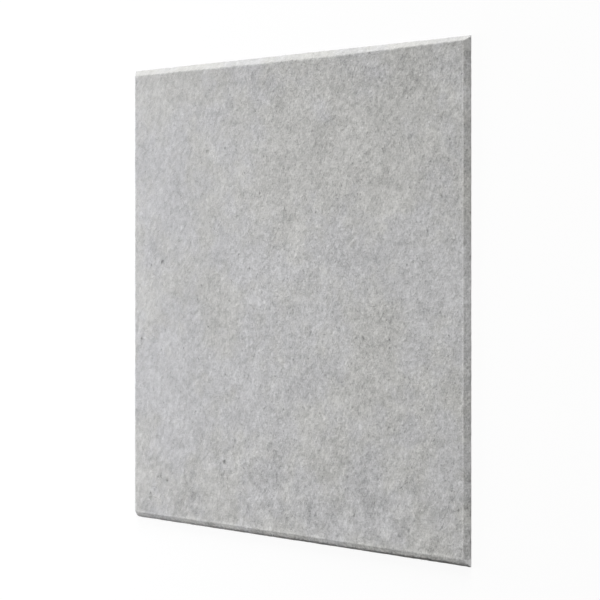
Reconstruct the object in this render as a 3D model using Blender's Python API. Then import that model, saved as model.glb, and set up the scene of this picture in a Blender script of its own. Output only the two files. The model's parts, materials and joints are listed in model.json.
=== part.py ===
"""Bevelled sound absorbing panel: one square of pressed polyester felt, lying on its back.

Metres, +Z up. The origin is the centre of the flat back. +Z points out of the front face, +Y to
the edge that is uppermost on the wall, and +X to the right as seen from the front.
"""

import math

import bmesh
import bpy
from mathutils import Vector

MM = 0.001

# The square of felt
PANEL_WIDTH = 600 * MM
PANEL_HEIGHT = 600 * MM
FELT_THICKNESS = 7 * MM

# The edge: a straight land is left at the back, and a bevel runs from it to the front face
LAND_HEIGHT = 1 * MM
BEVEL_WIDTH = 6.5 * MM
LAND_ARRIS_RADIUS = 0.5 * MM
FACE_ARRIS_RADIUS = 1.5 * MM

# The corners: a blade leaves three of them sharp, and handling has blunted the lower left one
CUT_CORNER_RADIUS = 0.4 * MM
BLUNT_CORNER_RADIUS = 9 * MM

# Facets on the rounded forms
ARRIS_SEGMENTS = 4
CUT_CORNER_SEGMENTS = 2
BLUNT_CORNER_SEGMENTS = 10

# The finish
FELT_COLOUR = (0.47, 0.47, 0.46, 1.0)
FELT_ROUGHNESS = 0.95
SMOOTH_ANGLE = math.radians(30)


def clear_scene():
    for old in list(bpy.data.objects):
        bpy.data.objects.remove(old)


def felt_material():
    """Matt grey felt."""
    material = bpy.data.materials.new("grey_felt")
    material.use_nodes = True
    shader = material.node_tree.nodes["Principled BSDF"]
    shader.inputs["Base Color"].default_value = FELT_COLOUR
    shader.inputs["Roughness"].default_value = FELT_ROUGHNESS
    shader.inputs["Metallic"].default_value = 0.0
    return material


def rounded(before, corner, after, radius, segments):
    """The arc that rounds the corner between two straight runs of the section."""
    towards_before = (before - corner).normalized()
    towards_after = (after - corner).normalized()
    half_angle = towards_before.angle(towards_after) / 2
    bisector = (towards_before + towards_after).normalized()
    centre = corner + bisector * (radius / math.sin(half_angle))
    first = corner + towards_before * (radius / math.tan(half_angle)) - centre
    last = corner + towards_after * (radius / math.tan(half_angle)) - centre
    turned = first.angle(last)
    arc = []
    for step in range(segments + 1):
        share = step / segments
        weight_first = math.sin((1 - share) * turned) / math.sin(turned)
        weight_last = math.sin(share * turned) / math.sin(turned)
        arc.append(centre + first * weight_first + last * weight_last)
    return arc


def edge_section():
    """The panel's edge in section, from the back to the front, as (inset from the outline, height)."""
    back = Vector((0.0, 0.0))
    land_top = Vector((0.0, LAND_HEIGHT))
    bevel_top = Vector((BEVEL_WIDTH, FELT_THICKNESS))
    on_face = Vector((2 * BEVEL_WIDTH, FELT_THICKNESS))
    land_arris = rounded(back, land_top, bevel_top, LAND_ARRIS_RADIUS, ARRIS_SEGMENTS)
    face_arris = rounded(land_top, bevel_top, on_face, FACE_ARRIS_RADIUS, ARRIS_SEGMENTS)
    return [back] + land_arris + face_arris


def corners():
    """Each corner of the outline as (side in X, side in Y, radius, segments), anticlockwise."""
    cut = (CUT_CORNER_RADIUS, CUT_CORNER_SEGMENTS)
    blunt = (BLUNT_CORNER_RADIUS, BLUNT_CORNER_SEGMENTS)
    return [(1, 1, *cut), (-1, 1, *cut), (-1, -1, *blunt), (1, -1, *cut)]


def outline(inset):
    """The outline drawn in by an inset. The blunt corner's radius shrinks as it is drawn in."""
    points = []
    for quarter, (side_x, side_y, radius, segments) in enumerate(corners()):
        arc_radius = max(radius - inset, CUT_CORNER_RADIUS)
        centre_x = side_x * (PANEL_WIDTH / 2 - inset - arc_radius)
        centre_y = side_y * (PANEL_HEIGHT / 2 - inset - arc_radius)
        for step in range(segments + 1):
            angle = (quarter + step / segments) * math.pi / 2
            points.append((centre_x + arc_radius * math.cos(angle), centre_y + arc_radius * math.sin(angle)))
    return points


def felt_panel():
    """One solid: an outline ring at each point of the section, bridged from the back to the face."""
    mesh = bmesh.new()
    rings = []
    for inset, height in edge_section():
        rings.append([mesh.verts.new((x, y, height)) for x, y in outline(inset)])
    for lower, upper in zip(rings, rings[1:]):
        for index in range(len(lower)):
            following = (index + 1) % len(lower)
            mesh.faces.new((lower[index], lower[following], upper[following], upper[index]))
    mesh.faces.new(reversed(rings[0]))
    mesh.faces.new(rings[-1])
    bmesh.ops.recalc_face_normals(mesh, faces=mesh.faces)
    data = bpy.data.meshes.new("felt_panel")
    mesh.to_mesh(data)
    mesh.free()
    data.shade_smooth()
    data.set_sharp_from_angle(angle=SMOOTH_ANGLE)
    panel = bpy.data.objects.new("felt_panel", data)
    panel.data.materials.append(felt_material())
    bpy.context.scene.collection.objects.link(panel)
    return panel


clear_scene()
felt_panel()
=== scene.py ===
# %% [markdown]
# # A bevelled felt tile
#
# The tile is a board of polyester fibres that were laid as a thick web, needled and pressed hot
# until they held. A slanted blade then cut it square and left a bevel around its front face.
# The packed solid gives the true size and section, and this lesson dresses it: a body with the
# uneven skin of pressed felt, thousands of loose fibres, a heather grey finish, and soft light.

# %% Load the packed tile
import json
import math

import bpy
import numpy as np
from mathutils import Matrix, Vector

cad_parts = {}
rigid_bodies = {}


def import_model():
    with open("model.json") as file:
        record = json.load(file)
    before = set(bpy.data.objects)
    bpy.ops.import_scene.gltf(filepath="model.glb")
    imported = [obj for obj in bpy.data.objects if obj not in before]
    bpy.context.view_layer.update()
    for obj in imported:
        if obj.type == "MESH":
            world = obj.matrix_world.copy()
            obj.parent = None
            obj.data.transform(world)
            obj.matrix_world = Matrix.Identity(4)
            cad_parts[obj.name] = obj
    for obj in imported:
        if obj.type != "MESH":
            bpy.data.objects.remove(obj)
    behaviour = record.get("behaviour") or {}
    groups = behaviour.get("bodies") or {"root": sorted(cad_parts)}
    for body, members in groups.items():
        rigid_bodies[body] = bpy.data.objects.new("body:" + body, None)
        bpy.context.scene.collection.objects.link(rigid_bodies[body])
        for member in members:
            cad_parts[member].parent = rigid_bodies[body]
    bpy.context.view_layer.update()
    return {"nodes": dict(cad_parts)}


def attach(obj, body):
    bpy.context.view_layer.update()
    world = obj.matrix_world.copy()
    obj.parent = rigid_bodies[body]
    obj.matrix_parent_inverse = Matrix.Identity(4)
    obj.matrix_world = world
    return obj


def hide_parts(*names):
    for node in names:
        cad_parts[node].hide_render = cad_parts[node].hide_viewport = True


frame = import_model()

MM = 0.001

# %% [markdown]
# ## Read the section from the solid
#
# The solid is a stack of outlines, each a little further in and a little higher than the last,
# so its corner points hold the whole section of the edge. The numbers could be typed again here.
# Reading them keeps the dressed tile on the solid if the solid is ever changed.

# %% Section of the edge
HEIGHT_DIGITS = 6
SAME_PLACE = 1e-6
solid_points = np.array([vertex.co for vertex in frame["nodes"]["felt_panel"].data.vertices])
HALF = float(solid_points[:, 0].max())
ring_heights = np.unique(solid_points[:, 2].round(HEIGHT_DIGITS))
ring_reaches = np.array([
    solid_points[abs(solid_points[:, 2] - height) < SAME_PLACE, 0].max()
    for height in ring_heights
])
ring_insets = (HALF - ring_reaches).clip(0)
BEVEL_INSET = float(ring_insets[-1])
print(f"half side {HALF:.4f} m, thickness {ring_heights[-1]:.4f} m, face starts {BEVEL_INSET:.5f} m in")

# %% Radius of the blunt corner
back_points = solid_points[solid_points[:, 2] < SAME_PLACE]
left_points = back_points[back_points[:, 0] < SAME_PLACE - HALF]
BLUNT_RADIUS = float(left_points[:, 1].min() + HALF)
print(f"blunt corner radius {BLUNT_RADIUS:.4f} m")

# %% [markdown]
# ## Random relief
#
# A pressed felt is never flat: where the web was thicker it stands a little proud. Lumps of a
# chosen size can be had from a noise texture, or from white noise with all but the wanted sizes
# filtered away. The filter is used here, because the mesh and the fibres that lie on it then
# read the same heights. Each field has its own seed, so every run gives the same tile.

# %% A field of lumps between two sizes
FIELD_PITCH = 1 * MM
FIELD_CELLS = 640


def lump_field(seed, finest, coarsest):
    """Heights with mean 0 and spread 1 on a square raster, with lumps between two sizes."""
    white = np.random.default_rng(seed).standard_normal((FIELD_CELLS, FIELD_CELLS))
    line = np.fft.fftfreq(FIELD_CELLS, FIELD_PITCH)
    frequency = np.hypot(line[:, None], line[None, :])
    gain = np.exp(-(frequency * finest) ** 2) - np.exp(-(frequency * coarsest) ** 2)
    field = np.fft.ifft2(np.fft.fft2(white) * gain).real
    return (field - field.mean()) / field.std()


RELIEF = [
    (0.085 * MM, lump_field(11, 26 * MM, 110 * MM)),
    (0.050 * MM, lump_field(12, 9 * MM, 26 * MM)),
    (0.034 * MM, lump_field(13, 4 * MM, 9 * MM)),
]
print("relief fields:", len(RELIEF), "of", FIELD_CELLS, "by", FIELD_CELLS, "cells")

# %% Read a field between its cells
def read_field(field, x, y):
    """The field's height at points on the tile, between the raster's four nearest cells."""
    column = (x + HALF) / FIELD_PITCH
    row = (y + HALF) / FIELD_PITCH
    left = np.floor(column).astype(int)
    below = np.floor(row).astype(int)
    across = column - left
    up = row - below
    rows = (below % FIELD_CELLS, (below + 1) % FIELD_CELLS)
    columns = (left % FIELD_CELLS, (left + 1) % FIELD_CELLS)
    low = field[rows[0], columns[0]] * (1 - across) + field[rows[0], columns[1]] * across
    high = field[rows[1], columns[0]] * (1 - across) + field[rows[1], columns[1]] * across
    return low * (1 - up) + high * up


centre_lump = float(read_field(RELIEF[0][1], np.array(0.0), np.array(0.0)))
print(f"broadest lump at the middle {centre_lump * RELIEF[0][0] / MM:.3f} mm")

# %% [markdown]
# ## A bevel cut by hand
#
# The blade was led round the board by hand, so the bevel isn't equally wide all round. It is
# narrow on the right and towards the upper right corner, and wide below and over most of the
# upper edge. A few smooth ramps give its width at any point, as a multiple of the solid's. The
# function for a ramp is handed in, so that the mesh and the finish below share one sum.

# %% Width of the bevel around the tile
# Widths are multiples of the solid's. Each pair is where a ramp starts and ends, in millimetres.
ACROSS_MIDDLE = (-100.0, 100.0)
RIGHT_LOSS = 0.185
LOWER_GAIN = 0.14
LOWER_GAINS_OVER = (-320.0, -10.0)
UPPER_AT_LEFT = 1.13
UPPER_GAIN = 0.14
UPPER_GAINS_OVER = (-250.0, -20.0)
UPPER_LOSS = 0.42
UPPER_LOSES_OVER = (65.0, 290.0)


def smooth_ramp(value, low, high):
    """0 below low, 1 above high and a smooth ramp between."""
    share = np.clip((value - low) / (high - low), 0, 1)
    return share * share * (3 - 2 * share)


def bevel_widths(x_mm, y_mm, ramp):
    """Multiples of the solid's bevel width, for the nearest upright edge and the nearest level one."""
    upright = 1 - ramp(x_mm, *ACROSS_MIDDLE) * RIGHT_LOSS
    lower = 1 + ramp(x_mm, *LOWER_GAINS_OVER) * LOWER_GAIN
    upper_gain = ramp(x_mm, *UPPER_GAINS_OVER) * UPPER_GAIN
    upper = UPPER_AT_LEFT + upper_gain - ramp(x_mm, *UPPER_LOSES_OVER) * UPPER_LOSS
    return upright, lower + (upper - lower) * ramp(y_mm, *ACROSS_MIDDLE)


right_corners = (np.array([HALF, HALF]) / MM, np.array([-HALF, HALF]) / MM)
right_width, level_widths = bevel_widths(*right_corners, smooth_ramp)
print("bevel at the right", right_width.round(2), "and below and above there", level_widths.round(2))

# %% [markdown]
# ## The tile's surface as a height
#
# Every point of the front is a distance in from the outline, and that distance gives its height:
# up the bevel, over a soft arris, then level. A blade drags the fibres up as it leaves the face,
# so a low lip runs just inside the arris. The same function places the body's vertices and the
# fibres that lie on it, and that is why it takes any point and not only those of a grid.

# %% Distance in from the outline
MITRE_SOFTNESS = 1.6 * MM


def inset_at(x, y):
    """How far in from the outline a point lies, where the bevel has the solid's width.

    The mitres are softened and one corner is blunt.
    """
    upright, level = bevel_widths(x / MM, y / MM, smooth_ramp)
    from_side = (HALF - abs(x)) / upright
    from_end = (HALF - abs(y)) / level
    nearest = np.minimum(from_side, from_end)
    spare = np.clip(MITRE_SOFTNESS - abs(from_side - from_end), 0, None)
    mitred = np.clip(nearest - spare**2 / (4 * MITRE_SOFTNESS), 0, None)
    into_x = BLUNT_RADIUS - from_side
    into_y = BLUNT_RADIUS - from_end
    blunt = BLUNT_RADIUS - np.hypot(into_x, into_y)
    blunt = np.where((into_x > 0) & (into_y > 0), blunt, nearest)
    return np.where((x < 0) & (y < 0), blunt, mitred)


print(f"the middle is {float(inset_at(np.array(0.0), np.array(0.0))) / MM:.0f} mm in")

# %% Height over the back
ARRIS_SOFTNESS = 0.40 * MM
ARRIS_SAMPLES = 7
LIP_INSET = BEVEL_INSET + 0.9 * MM
LIP_WIDTH = 0.9 * MM
LIP_HEIGHT = 0.14 * MM


def section_height(inset):
    """The solid's section with its arrises softened, as felt has no sharp edge."""
    total = 0
    for offset in np.linspace(-ARRIS_SOFTNESS, ARRIS_SOFTNESS, ARRIS_SAMPLES):
        total = total + np.interp(inset + offset, ring_insets[1:], ring_heights[1:])
    return total / ARRIS_SAMPLES


def height_at(x, y):
    """The height of the front surface, with its lip and its lumps."""
    inset = inset_at(x, y)
    lip = LIP_HEIGHT * np.exp(-(((inset - LIP_INSET) / LIP_WIDTH) ** 2))
    calm = np.clip(inset / BEVEL_INSET, 0, 1)
    relief = sum(size * read_field(field, x, y) for size, field in RELIEF)
    return section_height(inset) + lip + relief * calm


print(f"height at the middle {float(height_at(np.array(0.0), np.array(0.0))) / MM:.2f} mm")

# %% [markdown]
# ## The felt body
#
# The body is one closed mesh. A plain box with bevels would have the right outline but a dead flat
# face, and a displacement modifier would need far more faces than the tile may have. So a grid is
# given: close lines over the bevel and arris, where the form turns, and wide ones over the face.
# Its edges wander a little, as a blade leaves them in a springy board.

# %% Grid lines
RIM_INSETS_MM = [0, 0.3, 0.8, 1.5, 2.3, 3.1, 3.9, 4.7, 5.4, 5.9, 6.3, 6.7, 7.1, 7.6, 8.3, 9.3]
FACE_PITCH = 2.15 * MM
rim_lines = np.array(RIM_INSETS_MM) * MM
inner = HALF - rim_lines[-1]
face_steps = round(2 * inner / FACE_PITCH)
lines = np.concatenate([
    rim_lines[:-1] - HALF,
    np.linspace(-inner, inner, face_steps + 1),
    (HALF - rim_lines[:-1])[::-1],
])
print("grid:", len(lines), "by", len(lines), "lines")

# %% Bend the grid round the blunt corner and along the bevel
FOLLOWS_WITHIN = (10 * MM, 40 * MM)


def bend_blunt_corner(x, y):
    """Bends the grid's square corner into a quarter disc, so its lines follow the outline."""
    into_x = BLUNT_RADIUS - HALF - x
    into_y = BLUNT_RADIUS - HALF - y
    inside = (into_x > 0) & (into_y > 0)
    radius = np.maximum(into_x, into_y)
    angle = np.where(into_x > into_y, into_y, 2 * radius - into_x) / np.where(inside, radius, 1)
    angle = angle * math.pi / 4
    centre = BLUNT_RADIUS - HALF
    bent_x = np.where(inside, centre - radius * np.cos(angle), x)
    bent_y = np.where(inside, centre - radius * np.sin(angle), y)
    return bent_x, bent_y


def follow_bevel(x, y):
    """Moves points near the outline in or out, so that close lines stay on the arris all round."""
    upright, level = bevel_widths(x / MM, y / MM, smooth_ramp)
    from_side = HALF - abs(x)
    from_end = HALF - abs(y)
    near_side = 1 - smooth_ramp(from_side, *FOLLOWS_WITHIN)
    near_end = 1 - smooth_ramp(from_end, *FOLLOWS_WITHIN)
    return (
        x + np.sign(x) * from_side * (1 - upright) * near_side,
        y + np.sign(y) * from_end * (1 - level) * near_end,
    )


grid_x, grid_y = np.meshgrid(lines, lines, indexing="ij")
grid_x, grid_y = follow_bevel(*bend_blunt_corner(grid_x, grid_y))
grid_z = height_at(grid_x, grid_y)
print(f"front heights {grid_z.min() / MM:.2f} to {grid_z.max() / MM:.2f} mm")

# %% Wander of the cut edges
WANDER = 0.08 * MM
WANDER_REACH = 9 * MM
wander_x = lump_field(21, 10 * MM, 60 * MM)
wander_y = lump_field(22, 10 * MM, 60 * MM)


def wandered(x, y):
    """Moves points near the outline a little in or out, and leaves those further in alone."""
    near_side = np.clip(1 - (HALF - abs(x)) / WANDER_REACH, 0, 1)
    near_end = np.clip(1 - (HALF - abs(y)) / WANDER_REACH, 0, 1)
    return (
        x + WANDER * near_side * read_field(wander_x, x, y),
        y + WANDER * near_end * read_field(wander_y, x, y),
    )


front_x, front_y = wandered(grid_x, grid_y)
print(f"the outline wanders by up to {abs(front_x - grid_x).max() / MM:.2f} mm")

# %% Join the front's points into faces
last = len(lines) - 1
index = np.arange(len(lines) ** 2).reshape(len(lines), len(lines))
quads = np.stack([index[:-1, :-1], index[1:, :-1], index[1:, 1:], index[:-1, 1:]], axis=-1)
front = np.stack([front_x.ravel(), front_y.ravel(), grid_z.ravel()], axis=1)
point_sets = [front]
faces = quads.reshape(-1, 4).tolist()
print("front:", len(faces), "faces")

# %% Land under the bevel
LAND_RINGS = [(0.02 * MM, 0.42 * MM), (0.0, 0.12 * MM), (0.14 * MM, 0.0)]
rim = np.concatenate([
    index[:last, 0],
    index[last, :last],
    index[last:0:-1, last],
    index[0, last:0:-1],
])
above = rim
for draw_in, height in LAND_RINGS:
    ring = front[rim].copy()
    at_outline = abs(ring[:, :2]) > HALF - BLUNT_RADIUS
    ring[:, :2] -= np.sign(ring[:, :2]) * draw_in * at_outline
    ring[:, 2] = height
    below = np.arange(len(rim)) + sum(len(part) for part in point_sets)
    point_sets.append(ring)
    walls = np.stack([above, below, np.roll(below, -1), np.roll(above, -1)], axis=1)
    faces += walls.tolist()
    above = below
print("land:", len(LAND_RINGS), "rings of", len(rim), "points")

# %% Back in strips
BACK_STRIPS = 4
lower_run, right_run, upper_run, left_run = above.reshape(4, last)
upper_run = np.append(upper_run, left_run[0])[::-1]
lower_run = np.append(lower_run, right_run[0])
strip_ends = np.linspace(0, last, BACK_STRIPS + 1).astype(int)
for start, end in zip(strip_ends, strip_ends[1:]):
    strip = [*lower_run[start:end + 1]]
    strip += [*right_run[1:]] if end == last else []
    strip += [*upper_run[start:end + 1][::-1]]
    strip += [*left_run[1:]] if start == 0 else []
    faces.append([int(corner) for corner in strip[::-1]])
print("back:", BACK_STRIPS, "strips")

# %% Make the body and let it stand for the solid
SHARP_ANGLE = math.radians(55)
points = np.concatenate(point_sets)
body_mesh = bpy.data.meshes.new("felt_board")
body_mesh.from_pydata(points.tolist(), [], faces)
body_mesh.validate()
body_mesh.shade_smooth()
body_mesh.set_sharp_from_angle(angle=SHARP_ANGLE)
felt_board = bpy.data.objects.new("felt_board", body_mesh)
bpy.context.scene.collection.objects.link(felt_board)
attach(felt_board, "root")
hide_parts("felt_panel")
body_mesh.calc_loop_triangles()
print("felt body:", len(points), "vertices,", len(body_mesh.loop_triangles), "triangles")

# %% [markdown]
# ## A flat map that favours the front
#
# The finish below is made of patterns, and another program can only show them as a picture laid
# over the board by a map. An automatic map would give the back as much of that picture as the
# front. This one gives the front and its land one large square, and lays the back beside it in
# four strips, because the strips fill the corner that is left over.

# %% Lay the front and its land in a large square
FRONT_SHARE = 0.855
LAND_SPREAD = 2.0
LAND_TOP = 1 * MM
MAP_GAP = 0.006
corner_vertex = np.array([loop.vertex_index for loop in body_mesh.loops])
spots = points[corner_vertex]
spread = 1 + LAND_SPREAD * np.clip(LAND_TOP - spots[:, 2], 0, None) / HALF
across = (spots[:, 0] * spread / HALF + 1) / 2
upward = (spots[:, 1] * spread / HALF + 1) / 2
map_x = MAP_GAP + across * FRONT_SHARE
map_y = MAP_GAP + upward * FRONT_SHARE
print(f"the front's map ends at {map_x.max():.3f} and {map_y.max():.3f}")

# %% Lay the back's strips beside and above it
BACK_SHARE = 0.485
face_sizes = [face.loop_total for face in body_mesh.polygons]
corner_face = np.repeat(np.arange(len(face_sizes)), face_sizes)
first_strip = len(face_sizes) - BACK_STRIPS
beside = FRONT_SHARE + 3 * MAP_GAP
for number in range(BACK_STRIPS):
    own = corner_face == first_strip + number
    strip_left = lines[strip_ends[number]]
    over = beside + (spots[own, 0] - strip_left) / (2 * HALF) * BACK_SHARE
    along = (spots[own, 1] / HALF + 1) / 2 * BACK_SHARE
    along = along + MAP_GAP + (number % 2) * (BACK_SHARE + MAP_GAP)
    map_x[own] = over if number < 2 else along
    map_y[own] = along if number < 2 else over
flat_map = body_mesh.uv_layers.new(name="OFBake")
flat_map.uv.foreach_set("vector", np.stack([map_x, map_y], axis=1).ravel().astype(np.float32))
print(f"map spans {map_x.min():.3f} to {map_x.max():.3f} and {map_y.min():.3f} to {map_y.max():.3f}")

# %% [markdown]
# ## Loose fibres
#
# The surface of felt is a tangle of crimped fibres, and the ones that were not pressed down show
# as fine pale and dark strokes. Hair curves could draw them, but a mesh goes wherever the tile
# goes. Each strand is a thin closed prism with tapered ends: it wanders over the surface, lies on
# it in the middle and dives into it at both ends.

# %% Which way the surface faces
NORMAL_STEP = 0.4 * MM


def surface_normals(x, y):
    """Unit normals of the front surface, from heights a short step apart."""
    slope_x = (height_at(x + NORMAL_STEP, y) - height_at(x - NORMAL_STEP, y)) / (2 * NORMAL_STEP)
    slope_y = (height_at(x, y + NORMAL_STEP) - height_at(x, y - NORMAL_STEP)) / (2 * NORMAL_STEP)
    normals = np.stack([-slope_x, -slope_y, np.ones_like(slope_x)], axis=-1)
    return normals / np.linalg.norm(normals, axis=-1, keepdims=True)


print("normal at the middle", surface_normals(np.array(0.0), np.array(0.0)).round(3))

# %% Walk strands over the plane
JITTER_SHARE = 0.6


def strand_walks(rng, x, y, heading, length, crimp, steps):
    """Paths over the plane that bend one way and then another, as crimped fibres do."""
    bend = rng.normal(0, crimp, (len(x), 1))
    jitter = rng.normal(0, crimp * JITTER_SHARE, (len(x), steps))
    turn = heading[:, None] + np.cumsum(bend + jitter, axis=1)
    stride = (length / steps)[:, None]
    start = np.zeros((len(x), 1))
    walk_x = np.concatenate([start, np.cumsum(np.cos(turn) * stride, axis=1)], axis=1)
    walk_y = np.concatenate([start, np.cumsum(np.sin(turn) * stride, axis=1)], axis=1)
    return x[:, None] + walk_x, y[:, None] + walk_y


here = np.zeros(1)
trial_x, trial_y = strand_walks(np.random.default_rng(1), here, here, here, here + 10 * MM, 0.4, 5)
trial_reach = math.hypot(trial_x[0, -1], trial_y[0, -1])
print(f"a crimped strand of 10 mm reaches {trial_reach / MM:.1f} mm")

# %% Turn paths into thin closed prisms
TIP_ANGLE = 0.12
TAPER_POWER = 0.6
LOW_CORNERS = 0.3
CROWN = 0.7


def strand_mesh(name, paths, normals, width):
    """Thin prisms along the paths: two low corners and a crown, tapered to both ends and closed."""
    count, knots = paths.shape[:2]
    along = np.gradient(paths, axis=1)
    along /= np.linalg.norm(along, axis=2, keepdims=True)
    side = np.cross(along, normals)
    side /= np.linalg.norm(side, axis=2, keepdims=True)
    up = np.cross(side, along)
    taper = np.sin(np.linspace(TIP_ANGLE, math.pi - TIP_ANGLE, knots)) ** TAPER_POWER
    half_width = (width[:, None] / 2 * taper[None, :])[..., None]
    corners = np.stack([
        paths - side * half_width - up * half_width * LOW_CORNERS,
        paths + side * half_width - up * half_width * LOW_CORNERS,
        paths + up * half_width * CROWN,
    ], axis=2)
    first = (np.arange(count)[:, None] * knots + np.arange(knots)[None, :]) * 3
    here, ahead = first[:, :-1], first[:, 1:]
    walls = np.stack([
        np.stack([here + corner, ahead + corner, ahead + after, here + after], axis=-1)
        for corner, after in ((0, 1), (1, 2), (2, 0))
    ], axis=2).reshape(count, -1, 4)
    start_caps = np.stack([first[:, 0], first[:, 0] + 1, first[:, 0] + 2], axis=-1)
    end_caps = np.stack([first[:, -1] + 2, first[:, -1] + 1, first[:, -1]], axis=-1)
    mesh = bpy.data.meshes.new(name)
    all_faces = walls.reshape(-1, 4).tolist() + start_caps.tolist() + end_caps.tolist()
    mesh.from_pydata(corners.reshape(-1, 3).tolist(), [], all_faces)
    return mesh, walls.shape[1]


for trial_steps in (4, 5):
    print("a strand of", trial_steps, "steps has", trial_steps * 3 * 2 + 2, "triangles")

# %% [markdown]
# ## Shades of fibre
#
# Heather grey is not one grey. White, grey and nearly black fibres are blended before the web is
# laid, with a few that are warmer or cooler. Each fibre was dyed in the melt, so one colour runs
# right through it and is set on the shader itself, while the blend is made by mixing shades.

# %% One finish for each shade
FIBRE_ROUGHNESS = 0.62
FIBRE_SHEEN = 0.25
SHADES = {
    "white_fibre": ((0.78, 0.78, 0.77), 0.24),
    "pale_fibre": ((0.60, 0.60, 0.59), 0.29),
    "warm_fibre": ((0.52, 0.51, 0.48), 0.05),
    "cool_fibre": ((0.48, 0.484, 0.52), 0.05),
    "grey_fibre": ((0.34, 0.34, 0.34), 0.20),
    "dark_fibre": ((0.11, 0.11, 0.11), 0.13),
}


def fibre_finish(name, colour):
    """Matt dyed polyester with the faint sheen of a fine fibre."""
    finish = bpy.data.materials.new(name)
    finish.use_nodes = True
    shader = finish.node_tree.nodes["Principled BSDF"]
    shader.inputs["Base Color"].default_value = (*colour, 1)
    shader.inputs["Roughness"].default_value = FIBRE_ROUGHNESS
    shader.inputs["Sheen Weight"].default_value = FIBRE_SHEEN
    return finish


fibre_finishes = [fibre_finish(name, colour) for name, (colour, share) in SHADES.items()]
shade_shares = np.array([share for colour, share in SHADES.values()])
shade_shares = shade_shares / shade_shares.sum()
print("fibre shades:", list(SHADES))

# %% Make one piece of many strands
DARKEST = len(SHADES) - 1


def add_strands(name, rng, paths, width, shares=shade_shares, shadow_painted=False):
    """Makes one piece of strands, a random shade for each, and lets it ride with the tile.

    A strand in the painted shadow along the lower edge is always of the darkest shade.
    """
    normals = surface_normals(paths[..., 0], paths[..., 1])
    mesh, walls = strand_mesh(name, paths, normals, width)
    for finish in fibre_finishes:
        mesh.materials.append(finish)
    shade = np.where(shadow_painted, DARKEST, rng.choice(len(shares), len(paths), p=shares))
    shade_of_faces = np.concatenate([np.repeat(shade, walls), shade, shade])
    mesh.polygons.foreach_set("material_index", shade_of_faces)
    mesh.shade_smooth()
    piece = bpy.data.objects.new(name, mesh)
    bpy.context.scene.collection.objects.link(piece)
    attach(piece, "root")
    mesh.calc_loop_triangles()
    print(name, len(paths), "strands,", len(mesh.loop_triangles), "triangles")


print("soiled strands are", list(SHADES)[DARKEST])

# %% [markdown]
# ## Fibres on the face
#
# Carding combs the web, so about half of the fibres lie near one direction and the rest lie any
# way. Strands could be copied from a few patterns, but the eye finds repeats at once. Here every
# strand is walked by itself, and a few too many are walked, so that those that would hang over
# the outline can be dropped. They are shared among three pieces to keep each one light.

# %% Keep strands on the tile
FACE_MARGIN = 0.3 * MM


def on_tile(x, y, margin):
    """True where a whole path stays on the tile."""
    inside = (inset_at(x, y) > margin) & (abs(x) < HALF) & (abs(y) < HALF)
    return inside.all(axis=1)


print("a strand on the middle stays:", bool(on_tile(trial_x, trial_y, FACE_MARGIN)[0]))

# %% Lay the strands on the face
LAY = math.radians(54)
LAY_SPREAD = 0.75
WITH_THE_LAY = 0.5
MOST_STRANDS = 6000
SPARE_STRANDS = 1.15
FACE_STEPS = 5
FACE_CRIMP = 0.42
FACE_SHORTEST = 2 * MM
FACE_LENGTH_SHAPE = 5
FACE_LENGTH_SCALE = 1.7 * MM
FACE_WIDTHS_MM = (0.09, 0.20)
FACE_ARCH = 0.10 * MM
FACE_SINK = 0.05 * MM
FACE_LIFTS = (0.4, 1.6)


def face_strands(name, seed, count):
    """Strands all over the face. Half lie near the web's own direction and the rest any way."""
    rng = np.random.default_rng(seed)
    spare = int(count * SPARE_STRANDS)
    start_x, start_y = rng.uniform(-HALF, HALF, (2, spare))
    lies_with = rng.random(spare) < WITH_THE_LAY
    with_lay = rng.normal(LAY, LAY_SPREAD, spare)
    any_way = rng.uniform(0, 2 * math.pi, spare)
    heading = np.where(lies_with, with_lay, any_way)
    length = rng.gamma(FACE_LENGTH_SHAPE, FACE_LENGTH_SCALE, spare) + FACE_SHORTEST
    x, y = strand_walks(rng, start_x, start_y, heading, length, FACE_CRIMP, FACE_STEPS)
    kept = np.flatnonzero(on_tile(x, y, FACE_MARGIN))[:count]
    x, y = x[kept], y[kept]
    width = rng.uniform(*FACE_WIDTHS_MM, len(x)) * MM
    arch = np.sin(np.linspace(0, math.pi, FACE_STEPS + 1)) * FACE_ARCH - FACE_SINK
    lift = arch * rng.uniform(*FACE_LIFTS, (len(x), 1))
    paths = np.stack([x, y, height_at(x, y) + lift], axis=-1)
    add_strands(name, rng, paths, width)


for number, seed in ((1, 31), (2, 32), (3, 33)):
    face_strands(f"face_fibres_{number}", seed, MOST_STRANDS)

# %% [markdown]
# ## Neps
#
# Carding leaves a few fibres rolled into tight little knots, called neps, and dark ones show as
# specks on a pale tile. They could be painted as dots. Made as knots of short, tightly curled
# strands they keep a ragged outline, and they cast the small shadow that makes a speck look real.

# %% Scatter the dark knots
NEP_COUNT = 60
STRANDS_IN_NEP = 13
NEP_SHARES = np.array([0, 0, 0, 0, 0.35, 0.65])
NEP_MARGIN = 8 * MM
NEP_SMALLEST_MM = 0.42
NEP_SIZE_SHAPE = 1.8
NEP_SIZE_SCALE_MM = 0.32
NEP_STRETCHES = (0.8, 1.9)
NEP_SPREAD = 0.42
NEP_STEPS = 5
NEP_CRIMP = 0.8
NEP_TURNS = 1.0
NEP_LENGTHS = (1.2, 2.6)
NEP_THICKNESS_MM = 0.16
NEP_ARCH = 0.05 * MM
NEP_SINK = 0.03 * MM
NEP_WIDTHS_MM = (0.16, 0.30)


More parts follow.
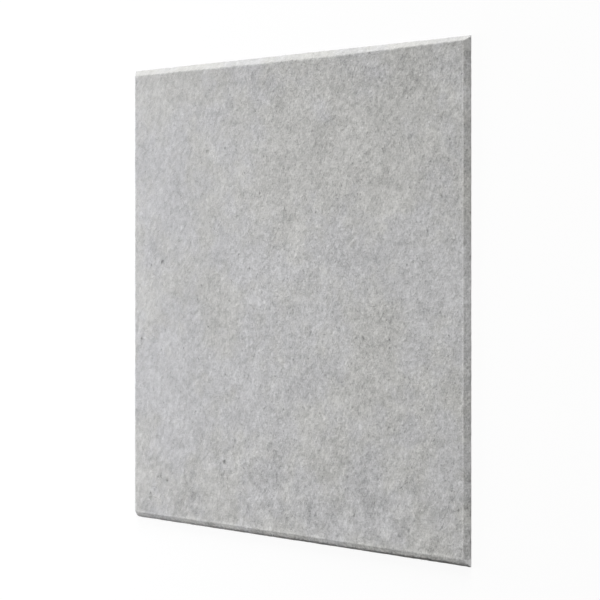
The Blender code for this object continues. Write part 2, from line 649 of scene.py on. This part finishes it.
def neps(name, seed):
    """Small flat knots of curled dark strands, each knot with its own size."""
    rng = np.random.default_rng(seed)
    reach = HALF - NEP_MARGIN
    middle = rng.uniform(-reach, reach, (2, NEP_COUNT))
    radius = (NEP_SMALLEST_MM + rng.gamma(NEP_SIZE_SHAPE, NEP_SIZE_SCALE_MM, NEP_COUNT)) * MM
    stretch = rng.uniform(*NEP_STRETCHES, NEP_COUNT)
    own = np.repeat(np.arange(NEP_COUNT), STRANDS_IN_NEP)
    spot_along, spot_across = rng.normal(0, NEP_SPREAD, (2, len(own))) * radius[own]
    spot_along = spot_along * stretch[own]
    heading = rng.normal(LAY, NEP_TURNS, len(own))
    x = middle[0, own] + spot_along * math.cos(LAY) - spot_across * math.sin(LAY)
    y = middle[1, own] + spot_along * math.sin(LAY) + spot_across * math.cos(LAY)
    length = radius[own] * rng.uniform(*NEP_LENGTHS, len(own))
    x, y = strand_walks(rng, x, y, heading, length, NEP_CRIMP, NEP_STEPS)
    layer = rng.uniform(0, NEP_THICKNESS_MM, (len(own), 1)) * MM
    arch = np.sin(np.linspace(0, math.pi, NEP_STEPS + 1)) * NEP_ARCH - NEP_SINK
    paths = np.stack([x, y, height_at(x, y) + layer + arch], axis=-1)
    width = rng.uniform(*NEP_WIDTHS_MM, len(own)) * MM
    add_strands(name, rng, paths, width, NEP_SHARES)


neps("dark_neps", 51)

# %% [markdown]
# ## Fuzz on the cut edge
#
# A blade leaves short fibre ends standing out of the bevel, the arris and the outline, and they
# make the edge look soft against a pale ground. They are strands again, but short, thin and
# lifted off the surface. None reaches more than about two millimetres past the board. The ones
# low on the lower edge take the darkest shade, as painted shadow.

# %% Raise short ends along the edge
EDGE_SHARES = np.array([0.16, 0.38, 0.05, 0.05, 0.25, 0.11])
EDGE_BAND = 1.15 * BEVEL_INSET
EDGE_CROWDING = (0.7, 0.6)
EDGE_SHORTEST = 0.4 * MM
EDGE_LENGTH_SHAPE = 4
EDGE_LENGTH_SCALE = 0.26 * MM
EDGE_STEPS = 4
EDGE_CRIMP = 0.5
EDGE_TURNS = 1.0
EDGE_MARGIN = 0.05 * MM
EDGE_RISE_SHAPE = 2
EDGE_RISE_SCALE = 0.16 * MM
EDGE_RISE_POWER = 1.3
EDGE_SINK = 0.05 * MM
EDGE_WIDTHS_MM = (0.05, 0.10)
SHADOW_PAINTED_UP_TO_MM = (0.5, 4.0)


def edge_fuzz(name, seed, count):
    """Short ends along all four edges, mostly near the outline and near the arris."""
    rng = np.random.default_rng(seed)
    inset = rng.beta(*EDGE_CROWDING, count) * EDGE_BAND
    side = rng.integers(0, 4, count)
    along = rng.uniform(-1, 1, count) * (HALF - inset)
    away = HALF - inset
    x = np.choose(side, [away, -away, along, along])
    y = np.choose(side, [along, along, away, -away])
    x, y = follow_bevel(x, y)
    facing = np.choose(side, [0.0, math.pi, math.pi / 2, -math.pi / 2])
    heading = facing + rng.normal(0, EDGE_TURNS, count)
    length = rng.gamma(EDGE_LENGTH_SHAPE, EDGE_LENGTH_SCALE, count) + EDGE_SHORTEST
    walk_x, walk_y = strand_walks(rng, x, y, heading, length, EDGE_CRIMP, EDGE_STEPS)
    clear = inset_at(x, y) > EDGE_MARGIN
    walk_x, walk_y = walk_x[clear], walk_y[clear]
    tip_rise = rng.gamma(EDGE_RISE_SHAPE, EDGE_RISE_SCALE, (len(walk_x), 1))
    rise = tip_rise * np.linspace(0, 1, EDGE_STEPS + 1) ** EDGE_RISE_POWER
    surface = height_at(walk_x.clip(-HALF, HALF), walk_y.clip(-HALF, HALF))
    paths = np.stack([walk_x, walk_y, surface + rise - EDGE_SINK], axis=-1)
    width = rng.uniform(*EDGE_WIDTHS_MM, len(paths)) * MM
    # Strands rooted near the lower outline take the darkest shade: painted shadow along the lower edge.
    shadow_painted = paths[:, 0, 1] + HALF < rng.uniform(*SHADOW_PAINTED_UP_TO_MM, len(paths)) * MM
    add_strands(name, rng, paths, width, EDGE_SHARES, shadow_painted)


edge_fuzz("edge_fuzz", 41, MOST_STRANDS)

# %% [markdown]
# ## Shader maths as sums
#
# The felt's finish is a sum of many faint patterns, and a page of linked nodes hides the sum.
# This small class wraps one socket, so that patterns add, scale and subtract like numbers. Every
# sum still becomes plain Math nodes in the material.

# %% A socket that can be added and scaled
class Tone:
    """One socket of a finish's node tree, to be used in Python expressions."""

    def __init__(self, tree, socket=None):
        self.tree = tree
        self.socket = socket

    def node(self, kind, inputs, settings=None, output=0):
        """Adds any node to the same tree, sets it up, feeds it and gives one of its outputs."""
        made = self.tree.nodes.new(kind)
        for name, value in (settings or {}).items():
            setattr(made, name, value)
        for name, value in inputs.items():
            if isinstance(value, Tone):
                self.tree.links.new(value.socket, made.inputs[name])
            else:
                made.inputs[name].default_value = value
        return Tone(self.tree, made.outputs[output])

    def output(self, name):
        """Another output of the same node."""
        return Tone(self.tree, self.socket.node.outputs[name])

    def feed(self, shader, name):
        """Links the socket to an input of a node that the material already has."""
        self.tree.links.new(self.socket, shader.inputs[name])

    def maths(self, operation, *values):
        return self.node("ShaderNodeMath", dict(enumerate(values)), {"operation": operation})

    def __add__(self, other):
        return self.maths("ADD", self, other)

    __radd__ = __add__

    def __sub__(self, other):
        return self.maths("SUBTRACT", self, other)

    def __rsub__(self, other):
        return self.maths("SUBTRACT", other, self)

    def __mul__(self, other):
        return self.maths("MULTIPLY", self, other)

    __rmul__ = __mul__

    def __truediv__(self, other):
        return self.maths("DIVIDE", self, other)

    def __rtruediv__(self, other):
        return self.maths("DIVIDE", other, self)

    def least(self, other):
        return self.maths("MINIMUM", self, other)

    def most(self, other):
        return self.maths("MAXIMUM", self, other)

    def size(self):
        return self.maths("ABSOLUTE", self)

    def rise(self, low, high):
        """0 below low, 1 above high and a smooth ramp between."""
        settings = {"interpolation_type": "SMOOTHSTEP"}
        return self.node("ShaderNodeMapRange", {0: self, 1: low, 2: high, 3: 0.0, 4: 1.0}, settings)

    def vector(self, operation, other):
        """This vector and another, put through Vector Math."""
        return self.node("ShaderNodeVectorMath", {0: self, 1: other}, {"operation": operation})

    def blend(self, dark, light):
        """A colour between two, by this value."""
        return self.node("ShaderNodeMix", {0: self, 6: dark, 7: light}, {"data_type": "RGBA"}, 2)

    def dyed(self, share, colour):
        """This colour with a share of another multiplied in."""
        settings = {"data_type": "RGBA", "blend_type": "MULTIPLY"}
        return self.node("ShaderNodeMix", {0: share, 6: self, 7: colour}, settings, 2)


print("a tone can be asked for:", [name for name in vars(Tone) if not name.startswith("_")])

# %% [markdown]
# ## The heather finish
#
# Seen close, the board is a mottle at every scale: strokes of single fibres, clumps a few
# millimetres wide, and broad soft patches where the blend was uneven. One noise can't do that.
# Strokes come from noise stretched along three directions on a bent ground, clumps and patches
# from plain noise, and the dark flecks from the tail of another. Each has a small share.

# %% Ground in millimetres
felt = bpy.data.materials.new("pressed_felt")
felt.use_nodes = True
felt_tree = felt.node_tree
felt_shader = felt_tree.nodes["Principled BSDF"]
place = Tone(felt_tree).node("ShaderNodeTexCoord", {}, output="Object")
ground = place.vector("MULTIPLY", (1 / MM,) * 3)
print("ground in millimetres from", len(felt_tree.nodes), "nodes")

# %% Lumps and a bent ground
NOISE_MIDDLE = 0.5
LUMP_ROUGHNESS = 0.55
SPOT_DIRECTION = (1, 0.7, 0.4)


def spot(number):
    """A place in the noise, so that no two patterns show the same stretch of it."""
    return tuple(number * part for part in SPOT_DIRECTION)


def lumps(where, size, detail, place_in_noise):
    """Noise around 0 with lumps about size millimetres wide."""
    moved = where.vector("ADD", place_in_noise)
    inputs = {"Vector": moved, "Scale": 1 / size, "Detail": detail, "Roughness": LUMP_ROUGHNESS}
    return moved.node("ShaderNodeTexNoise", inputs) - NOISE_MIDDLE


def bent(where, size, reach, shift):
    """The ground pushed about by a coarse noise, so that straight strokes curl."""
    inputs = {"Vector": where, "Scale": 1 / size, "Detail": 1.0}
    push = where.node("ShaderNodeTexNoise", inputs, output="Color")
    centred = push.vector("SUBTRACT", (NOISE_MIDDLE + shift,) * 3)
    return where.vector("ADD", centred.vector("MULTIPLY", (reach,) * 3))


curled = bent(ground, 7.0, 5.0, 0.0)
looped = bent(ground, 4.0, 5.0, 0.3)
ruffled = bent(ground, 3.0, 2.0, 0.1)
print("bent grounds in", len(felt_tree.nodes), "nodes")

# %% Strokes and hairs
ACROSS = -LAY
HAIR_SHARPNESS = 11.0
DARK_STROKE = (0.09, 0.22)


def strokes(where, angle, length, width, number):
    """Noise stretched along one direction, for fibres that mostly lie that way."""
    inputs = {"Vector": where, "Angle": angle}
    turned = where.node("ShaderNodeVectorRotate", inputs, {"rotation_type": "Z_AXIS"})
    stretched = turned.vector("MULTIPLY", (1 / length, 1 / width, 1 / width))
    return lumps(stretched, 1.0, 2.0, spot(number))


def hairs(where, angle, length, width, number):
    """Thin lines, 1 where a stretched noise passes its middle and 0 between them."""
    across = strokes(where, angle, length, width, number).size()
    return 1 - (across * HAIR_SHARPNESS).least(1.0)


tangle = (
    strokes(curled, ACROSS, 8.0, 2.0, 3) * 1.05
    + strokes(curled, ACROSS + 0.9, 7.5, 1.9, 17)
    + strokes(curled, ACROSS - 1.0, 7.5, 1.9, 31) * 0.95
)
dark_strokes = (
    strokes(curled, ACROSS + 0.3, 6.5, 1.9, 7).rise(*DARK_STROKE)
    + strokes(curled, ACROSS - 0.6, 6.0, 1.8, 23).rise(*DARK_STROKE)
)
pale_hairs = hairs(looped, ACROSS + 0.4, 9.0, 1.0, 41) + hairs(looped, ACROSS - 0.8, 9.0, 1.0, 43)
dark_hairs = hairs(looped, ACROSS - 0.2, 9.0, 1.3, 45) + hairs(looped, ACROSS + 1.3, 9.0, 1.3, 47)
print("strokes and hairs in", len(felt_tree.nodes), "nodes")

# %% Grain, clumps, patches and flecks
# The broadest lumps show a stretch of the noise that is pale where the tile is.
FIELDS_SPOT = (-7250, -11080, 740)
FLECK_TAIL = (0.13, 0.27)
grain = lumps(ground, 1.9, 2.0, spot(51))
clumps = strokes(ground, ACROSS, 9.0, 5.4, 71)
patches = lumps(ground, 24.0, 2.0, spot(91))
fields = lumps(ground, 80.0, 1.0, FIELDS_SPOT)
flecks = lumps(ruffled, 3.6, 2.0, spot(131)).rise(*FLECK_TAIL)
print("felt patterns in", len(felt_tree.nodes), "nodes")

# %% [markdown]
# ## Where the bevel, the arris and the mitres are
#
# The blade cut through fibres that were pressed flat elsewhere, so the bevel is a touch paler than
# the face. Its mitres and the lip beside it are painted paler still, as painted highlights, and the
# lower right corner has a pale wedge of painted highlight. The lower edge has a painted shadow, a
# dark line that grows darker towards the right. A painted map could hold all that. The distance in
# from the outline is the same sum as for the mesh, so here it is again as shader maths, in
# millimetres. A little noise keeps every border from being ruled.

# %% Distance in from the outline, for the finish
along_x = ground.node("ShaderNodeSeparateXYZ", {0: ground}, output="X")
along_y = along_x.output("Y")
HALF_MM = HALF / MM
upright, level = bevel_widths(along_x, along_y, Tone.rise)
side_mm = (HALF_MM - along_x.size()) / upright
end_mm = (HALF_MM - along_y.size()) / level
edge_noise = lumps(ground, 5.0, 2.0, spot(151))
wobbled = side_mm.least(end_mm) + edge_noise * 1.2
print("the tile's half side is", round(HALF_MM, 1), "mm")

# %% Bevel, lip and margins
# Each pair is where a mask starts to change and where it has changed, in millimetres.
BEVEL_FADES = (5.6, 6.8)
LIP_STARTS = (6.1, 7.3)
LIP_ENDS = (8.3, 9.9)
UPPER_EDGE = (280.0, 287.0)
UPPER_MARGIN = (170.0, 288.0)
LOWER_EDGE = (-290.0, -283.0)
on_bevel = 1 - wobbled.rise(*BEVEL_FADES)
upper_edge = along_y.rise(*UPPER_EDGE)
upper_bevel = upper_edge * on_bevel
upper_margin = along_y.rise(*UPPER_MARGIN) * (1 - on_bevel)
# Painted shade: the lower bevel is made a little darker.
painted_shade_lower_bevel = (1 - along_y.rise(*LOWER_EDGE)) * on_bevel
# Painted highlight: a pale line along the lip just inside the arris, mostly left off near the upper
# edge.
painted_lip_highlight = wobbled.rise(*LIP_STARTS) * (1 - wobbled.rise(*LIP_ENDS)) * (1 - upper_edge * 0.9)
print("bevel masks in", len(felt_tree.nodes), "nodes")

# %% Painted highlights on the mitres and the corner, and the painted shadow on the lower edge
# The pairs are millimetres again.
MITRE_FADES = (0.2, 1.4)
MITRE_SIDE = (-0.6, 0.6)
CORNER_HIGHLIGHT_WITHIN = (6.0, 9.0)
RIGHT_END = (0.0, 100.0)
LOWER_END = (-100.0, 0.0)
PAINTED_SHADOW_FADES = (1.1, 4.6)
PAINTED_SHADOW_DARKENS_OVER = (-900.0, 260.0)
# Painted highlights: a pale line along each mitre and a pale wedge at the lower right corner.
past_mitre = end_mm - side_mm + edge_noise * 2.2
mitre_line = (1 - past_mitre.size().rise(*MITRE_FADES)) * on_bevel
lower_right = along_x.rise(*RIGHT_END) * (1 - along_y.rise(*LOWER_END))
near_corner = 1 - (end_mm + edge_noise * 2.0).rise(*CORNER_HIGHLIGHT_WITHIN)
painted_corner_highlight = past_mitre.rise(*MITRE_SIDE) * near_corner * on_bevel * lower_right
painted_mitre_highlight = mitre_line.most(painted_corner_highlight * 1.5)
# Painted shadow: a dark line along the lower edge that is darker towards the right and fainter on the
# painted highlights.
from_low_edge = along_y + HALF_MM + edge_noise * 1.4 + tangle * 2.2 + grain * 1.2
painted_shadow = (1 - from_low_edge.rise(*PAINTED_SHADOW_FADES)) * along_x.rise(*PAINTED_SHADOW_DARKENS_OVER) * (1 - painted_mitre_highlight * 0.6)
print("edge masks in", len(felt_tree.nodes), "nodes")

# %% [markdown]
# ## Colour
#
# The board isn't the same all over: its fine mottle is fainter towards the left edge, its patches
# are stronger near the lower one, and the upper bevel is calm and even. The lower bevel gets a
# little painted shade, and the lip and mitres get painted highlights. A faint tint, warmer in some
# places and cooler in others, keeps the grey from looking printed, and the painted shadow along the
# lower edge comes last.

# %% Add up the mottle
CRISPER_OVER = (-290.0, 20.0)
EVENER_OVER = (-240.0, -150.0)
fine_marl = (
    tangle * 0.29
    + grain * 0.13
    - flecks * 0.19
    - dark_strokes * 0.08
    + pale_hairs * 0.04
    - dark_hairs * 0.05
    + 0.03
)
crispness = along_x.rise(*CRISPER_OVER) * 0.54 + 0.53
uneven = 1 - along_y.rise(*EVENER_OVER)
broad_marl = (
    clumps * (uneven * 0.06 + 0.29)
    + patches * (uneven * 0.20 + 0.165)
    + fields * 0.12
)
marl = fine_marl * crispness + broad_marl
print("mottle in", len(felt_tree.nodes), "nodes")

# %% Grey of the felt
DARK_FELT = (0.20, 0.20, 0.197, 1)
LIGHT_FELT = (0.74, 0.74, 0.730, 1)
MIDDLE_TONE = 0.480
MARL = 1.72
contrast = on_bevel * 0.25 - upper_bevel * 0.70 + 1.0
# The lip and mitre terms are painted highlights, and the lower bevel term is painted shade.
tone = (
    MIDDLE_TONE
    + marl * contrast * MARL
    + painted_lip_highlight * 0.11
    + on_bevel * 0.045
    + painted_mitre_highlight * 0.31
    - upper_margin * 0.03
    - painted_shade_lower_bevel * 0.035
)
grey = tone.blend(DARK_FELT, LIGHT_FELT)
print("felt greys from", DARK_FELT[:3], "to", LIGHT_FELT[:3])

# %% Tint and the painted shadow on the lower edge
COOL_TINT = (0.995, 0.996, 1.017, 1)
WARM_TINT = (1.004, 1.0, 0.983, 1)
PAINTED_SHADOW_GREY = (0.16, 0.16, 0.157, 1)
PATCH_SPOT = (6910, -9030, 310)
BROAD_SPOT = (8440, 3810, 310)
COOL_TO_WARM = (-0.17, 0.17)
tint_field = lumps(ground, 34.0, 2.0, PATCH_SPOT) * 0.9 + lumps(ground, 150.0, 1.0, BROAD_SPOT) * 1.2
tint = tint_field.rise(*COOL_TO_WARM).blend(COOL_TINT, WARM_TINT)
# The last step darkens the lower edge towards a dark grey, as painted shadow.
grey.dyed(1.0, tint).dyed(painted_shadow, PAINTED_SHADOW_GREY).feed(felt_shader, "Base Color")
print("dirt darkens the lower edge down to", PAINTED_SHADOW_GREY[:3], "of its colour")

# %% [markdown]
# ## Nap
#
# Felt is matt, but it catches light at a grazing angle because its fibre ends stand up. A sheen
# on the shader gives that, and it is the same all over. The strokes and the grain also push the
# surface up and down by a tenth of a millimetre, too fine for the mesh, so a bump does it.

# %% Roughness and sheen
FELT_SHEEN = 0.20
FELT_SHEEN_ROUGHNESS = 0.55
FELT_SPECULAR = 0.25
FELT_ROUGHNESS = 0.93
roughness = FELT_ROUGHNESS + tangle * 0.08 + grain * 0.06
roughness.least(1.0).feed(felt_shader, "Roughness")
felt_shader.inputs["Sheen Weight"].default_value = FELT_SHEEN
felt_shader.inputs["Sheen Roughness"].default_value = FELT_SHEEN_ROUGHNESS
felt_shader.inputs["Specular IOR Level"].default_value = FELT_SPECULAR
print("roughness about", FELT_ROUGHNESS)

# %% Bump
BUMP_HEIGHT = 0.35 * MM
cut_ends = lumps(ground, 0.9, 1.0, spot(191)) * on_bevel
nap = (
    tangle * 0.5
    + grain * 0.4
    + clumps * 0.4
    + cut_ends * 0.4
    + pale_hairs * 0.12
    + dark_hairs * 0.08
)
nap = nap * (1 - upper_bevel * 0.5)
bump = nap.node("ShaderNodeBump", {"Height": nap, "Strength": 1.0, "Distance": BUMP_HEIGHT})
bump.feed(felt_shader, "Normal")
body_mesh.materials.append(felt)
print("felt finish has", len(felt_tree.nodes), "nodes")

# %% [markdown]
# ## Floor and background
#
# The tile lies on a plain white floor in front of a white world. Light that is strong enough to
# turn a grey floor white would bleach the tile too. So the camera sees a floor that is mostly
# white of its own accord and partly lit, which leaves the tile's shadow in it.

# %% Tell the camera's rays from the light's
def seen_directly(tree):
    """1 for rays from the camera, or by way of a mirror or glass, and 0 for light on its way."""
    camera_ray = Tone(tree).node("ShaderNodeLightPath", {}, output="Is Camera Ray")
    by_mirror = camera_ray.output("Is Glossy Ray")
    by_glass = camera_ray.output("Is Transmission Ray")
    return camera_ray.most(by_mirror).most(by_glass)


print("floor and sky are told what is seen and what is lit")

# %% White floor that keeps the shadow
FLOOR_HALF = 6.0
FLOOR_WHITE = 0.98
OWN_WHITE = 0.86
floor_mesh = bpy.data.meshes.new("floor")
floor_turns = ((-1, -1), (1, -1), (1, 1), (-1, 1))
floor_corners = [(x * FLOOR_HALF, y * FLOOR_HALF, 0.0) for x, y in floor_turns]
floor_mesh.from_pydata(floor_corners, [], [(0, 1, 2, 3)])
floor = bpy.data.objects.new("floor", floor_mesh)
bpy.context.scene.collection.objects.link(floor)
floor_finish = bpy.data.materials.new("white_floor")
floor_finish.use_nodes = True
floor_tree = floor_finish.node_tree
floor_tree.nodes.remove(floor_tree.nodes["Principled BSDF"])
seen = seen_directly(floor_tree)
lit = seen.node("ShaderNodeBsdfDiffuse", {"Color": (FLOOR_WHITE, FLOOR_WHITE, FLOOR_WHITE, 1)})
own = seen.node("ShaderNodeEmission", {"Color": (1, 1, 1, 1), "Strength": 1.0})
mixed = seen.node("ShaderNodeMixShader", {0: seen * OWN_WHITE, 1: lit, 2: own})
mixed.feed(floor_tree.nodes["Material Output"], "Surface")
floor_mesh.materials.append(floor_finish)
print("floor", 2 * FLOOR_HALF, "m square")

# %% World light
AMBIENT = 0.21
world = bpy.data.worlds.new("studio_world")
bpy.context.scene.world = world
world.use_nodes = True
world_shade = world.node_tree.nodes["Background"]
world_shade.inputs["Color"].default_value = (1, 1, 1, 1)
strength = AMBIENT + seen_directly(world.node_tree) * (1 - AMBIENT)
strength.feed(world_shade, "Strength")
print("ambient level", AMBIENT)

# %% [markdown]
# ## Soft boxes
#
# A low, wide box beyond the upper edge lights the upper bevel and leaves the lower one dim. A
# small one close to the left makes the face fall off to the right. A large one overhead carries
# the rest. They are placed by direction and distance, and each points at the tile.

# %% Place the soft boxes
def soft_box(name, azimuth, elevation, distance, size, radiance, colour):
    """A square lamp that faces the tile. Radiance is its brightness, so power follows its size."""
    flat = math.cos(math.radians(elevation)) * distance
    position = Vector((
        flat * math.cos(math.radians(azimuth)),
        flat * math.sin(math.radians(azimuth)),
        distance * math.sin(math.radians(elevation)),
    ))
    lamp = bpy.data.lights.new(name, "AREA")
    lamp.shape = "SQUARE"
    lamp.size = size
    lamp.color = colour
    lamp.energy = radiance * math.pi * size * size
    box = bpy.data.objects.new(name, lamp)
    box.location = position
    box.rotation_euler = position.to_track_quat("Z", "Y").to_euler()
    bpy.context.scene.collection.objects.link(box)
    print(name, "power", round(lamp.energy, 1), "W")


soft_box("upper_box", 90, 14, 5.0, 2.0, 23.0, (1.0, 1.0, 0.995))
soft_box("left_box", 180, 12, 1.2, 0.6, 10.5, (0.90, 0.91, 1.0))
soft_box("overhead_box", 270, 75, 2.4, 1.2, 5.1, (1.0, 0.994, 0.975))

# %% [markdown]
# ## Camera
#
# The picture shows the tile upright, seen from its right with its upper edge above the eye. Here
# the tile lies on its back, so the camera keeps its place over the face and turns on its side:
# the tile's +Y is up in the picture. Its upright edges are parallel, so the camera looks level
# across the tile and its frame is shifted down instead of the camera being tilted.

# %% Camera in the tile's own frame
YAW = math.radians(46.28)
AIM = Vector((20.2 * MM, 52.3 * MM, 0))
DISTANCE = 2.4096
FOCAL_PIXELS = 1956.3
FRAME_PIXELS = 600
HORIZON_ROW = 254.85
SENSOR = 36.0
camera_data = bpy.data.cameras.new("camera")
camera_data.sensor_width = SENSOR
camera_data.lens = FOCAL_PIXELS / FRAME_PIXELS * SENSOR
camera_data.shift_y = (HORIZON_ROW - FRAME_PIXELS / 2) / FRAME_PIXELS
camera = bpy.data.objects.new("camera", camera_data)
towards_camera = Vector((math.sin(YAW), 0, math.cos(YAW)))
to_the_right = Vector((math.cos(YAW), 0, -math.sin(YAW)))
picture_up = Vector((0, 1, 0))
turn = Matrix((to_the_right, picture_up, towards_camera)).transposed()
camera.matrix_world = Matrix.Translation(AIM + towards_camera * DISTANCE) @ turn.to_4x4()
bpy.context.scene.collection.objects.link(camera)
bpy.context.scene.camera = camera
bpy.context.scene.view_settings.view_transform = "Standard"
print(f"lens {camera_data.lens:.1f} mm at {DISTANCE} m")

# %% [markdown]
# ## Sizes
#
# The dressed tile should be as large as the packed one, apart from the fuzz that stands proud of
# it.
